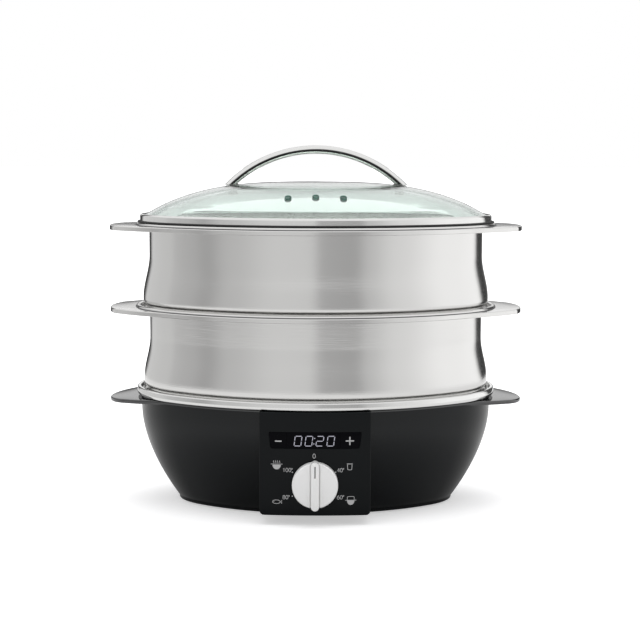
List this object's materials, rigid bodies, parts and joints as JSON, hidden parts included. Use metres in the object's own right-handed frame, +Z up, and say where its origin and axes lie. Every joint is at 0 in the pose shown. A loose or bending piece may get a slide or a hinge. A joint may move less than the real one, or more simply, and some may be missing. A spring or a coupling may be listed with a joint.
{
  "type": "electric food steamer",
  "caption": "Oval tiered electric food steamer with steel baskets, a domed glass lid with an arched handle, and a black base with a dial and a timer display.",
  "frame": {"origin": "on the floor, under the middle of the whole length from front to back and side to side", "axes": "+Z up, +X along the long side, the control panel faces -Y"},
  "size_m": [0.3966, 0.26, 0.3404],
  "materials": {
    "black_moulding": "satin",
    "gloss_black": "polished",
    "brushed_steel": "brushed",
    "polished_steel": "polished",
    "glass": "polished",
    "rubber": "matte",
    "silicone": "matte",
    "silver_plastic": "satin",
    "aluminium": "satin",
    "zinc_steel": "satin",
    "circuit_board": "satin",
    "grey_plastic": "matte"
  },
  "bodies": {
    "base": {"base_housing": "black_moulding", "bottom_cover": "black_moulding", "rubber_feet": "rubber", "cover_screws": "zinc_steel", "base_rim": "black_moulding", "tank_seal": "rubber", "water_tank": "polished_steel", "tank_rim": "polished_steel", "heating_plate": "aluminium", "heating_element": "zinc_steel", "thermostat": "aluminium", "temperature_probe": "zinc_steel", "probe_seal": "silicone", "power_board": "circuit_board", "relay": "grey_plastic", "terminal_block": "grey_plastic", "cord_gland": "rubber", "control_panel": "black_moulding", "display_window": "gloss_black", "display_board": "circuit_board", "board_screws": "zinc_steel", "display_module": "grey_plastic", "key_switches": "grey_plastic", "selector_switch": "grey_plastic", "bush_nut": "zinc_steel"},
    "minus_button": {"minus_key": "gloss_black"},
    "plus_button": {"plus_key": "gloss_black"},
    "knob": {"control_knob": "silver_plastic", "knob_shaft": "zinc_steel"},
    "tray": {"juice_tray": "grey_plastic", "steam_chimney": "grey_plastic"},
    "lower_basket": {"lower_basket_wall": "brushed_steel", "lower_basket_floor": "brushed_steel"},
    "upper_basket": {"upper_basket_wall": "brushed_steel", "upper_basket_floor": "brushed_steel"},
    "lid": {"lid_rim": "polished_steel", "lid_glass": "glass", "handle_washers": "silicone", "handle_screws": "zinc_steel", "lid_handle": "polished_steel"}
  },
  "joints": [
    {"name": "knob_turn", "type": "hinge", "parent": "base", "child": "knob", "pos_m": [0, -0.11704, 0.0381], "axis": [0, 1, 0], "range_deg": [0, 300]},
    {"name": "minus_press", "type": "slide", "parent": "base", "child": "minus_button", "axis": [0, 1, 0], "range_m": [0, 0.0006], "stiffness_N_per_m": 600},
    {"name": "plus_press", "type": "slide", "parent": "base", "child": "plus_button", "axis": [0, 1, 0], "range_m": [0, 0.0006], "stiffness_N_per_m": 600},
    {"name": "tray_lift", "type": "slide", "parent": "base", "child": "tray", "axis": [0, 0, 1], "range_m": [0, 0.06]},
    {"name": "lower_basket_lift", "type": "slide", "parent": "tray", "child": "lower_basket", "axis": [0, 0, 1], "range_m": [0, 0.1]},
    {"name": "upper_basket_lift", "type": "slide", "parent": "lower_basket", "child": "upper_basket", "axis": [0, 0, 1], "range_m": [0, 0.1]},
    {"name": "lid_lift", "type": "slide", "parent": "upper_basket", "child": "lid", "axis": [0, 0, 1], "range_m": [0, 0.1]}
  ]
}
